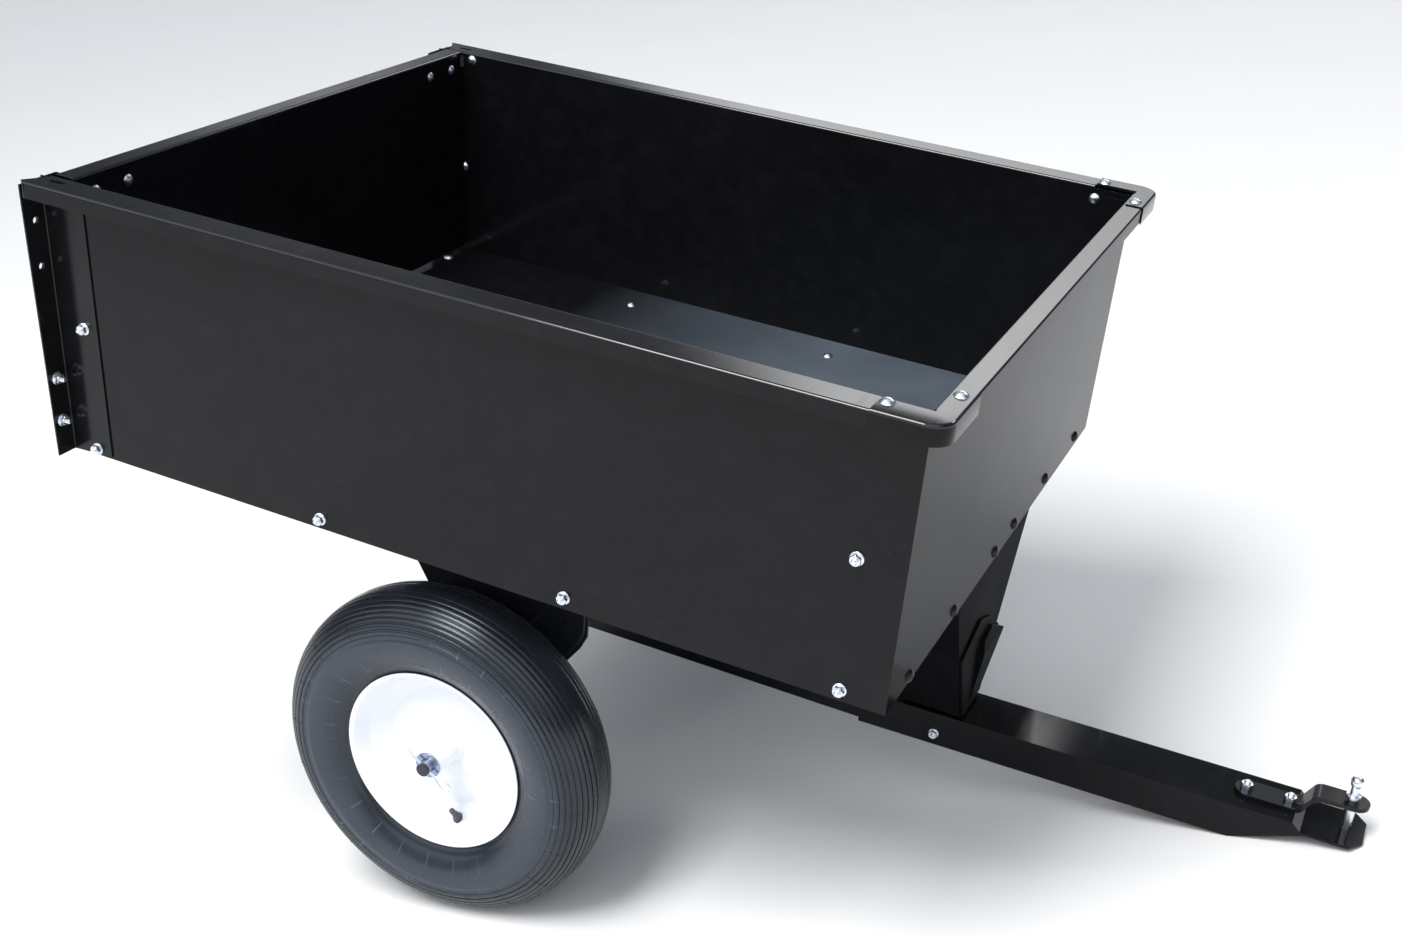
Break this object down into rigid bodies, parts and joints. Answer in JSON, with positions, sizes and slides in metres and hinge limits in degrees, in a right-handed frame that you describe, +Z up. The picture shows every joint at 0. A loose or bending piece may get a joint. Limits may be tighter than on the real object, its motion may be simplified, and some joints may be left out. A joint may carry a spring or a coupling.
{
  "type": "tow-behind yard cart",
  "caption": "Steel dump cart towed by a garden tractor: open bed with bolted panels, lift-out tailgate, tipping about its axle, and a channel tongue with a pinned clevis.",
  "frame": {"origin": "on the floor, below the middle of the whole cart's box", "axes": "+X towards the hitch, +Y to the cart's left, +Z up; the bed leans nose down as the cart parks on its tongue"},
  "size_m": [1.4311, 0.893, 0.8964],
  "materials": {
    "black_paint": "gloss",
    "wheel_paint": "gloss",
    "tyre": "satin",
    "rubber": "satin",
    "zinc": "bright zinc"
  },
  "bodies": {
    "tongue": {"axle": "zinc", "axle_spacer_left": "black_paint", "axle_spacer_right": "black_paint", "axle_washer_left": "zinc", "axle_washer_right": "zinc", "hitch_strap": "black_paint", "tongue_front": "black_paint", "tongue_rear": "black_paint"},
    "bed": {"axle_leg_left": "black_paint", "axle_leg_right": "black_paint", "corner_cap_left": "black_paint", "corner_cap_right": "black_paint", "floor_pan": "black_paint", "front_panel": "black_paint", "latch_lever": "black_paint", "latch_upright": "black_paint", "rear_post_left": "black_paint", "rear_post_right": "black_paint", "side_panel_left": "black_paint", "side_panel_right": "black_paint", "tailgate_track_left": "black_paint", "tailgate_track_right": "black_paint"},
    "tailgate": {"tailgate_hanger_left": "black_paint", "tailgate_hanger_right": "black_paint", "tailgate_panel": "black_paint"},
    "wheel_right": {"hub_right": "wheel_paint", "rim_right": "wheel_paint", "tyre_right": "tyre"},
    "wheel_left": {"hub_left": "wheel_paint", "rim_left": "wheel_paint", "tyre_left": "tyre"},
    "hitch_pin": {"hitch_pin": "zinc"}
  },
  "joints": [
    {"name": "bed_tip", "type": "hinge", "parent": "tongue", "child": "bed", "pos_m": [-0.261, 0, 0.206], "axis": [0, -1, 0], "range_deg": [0, 45]},
    {"name": "wheel_right_spin", "type": "hinge", "parent": "tongue", "child": "wheel_right", "pos_m": [-0.261, -0.391, 0.206], "axis": [0, 1, 0], "continuous": true},
    {"name": "wheel_left_spin", "type": "hinge", "parent": "tongue", "child": "wheel_left", "pos_m": [-0.261, 0.391, 0.206], "axis": [0, 1, 0], "continuous": true},
    {"name": "tailgate_lift", "type": "slide", "parent": "bed", "child": "tailgate", "axis": [0.1628, 0, 0.9867], "range_m": [0, 0.33]},
    {"name": "hitch_pin_lift", "type": "slide", "parent": "tongue", "child": "hitch_pin", "axis": [0.2008, 0, 0.9796], "range_m": [0, 0.06]}
  ]
}
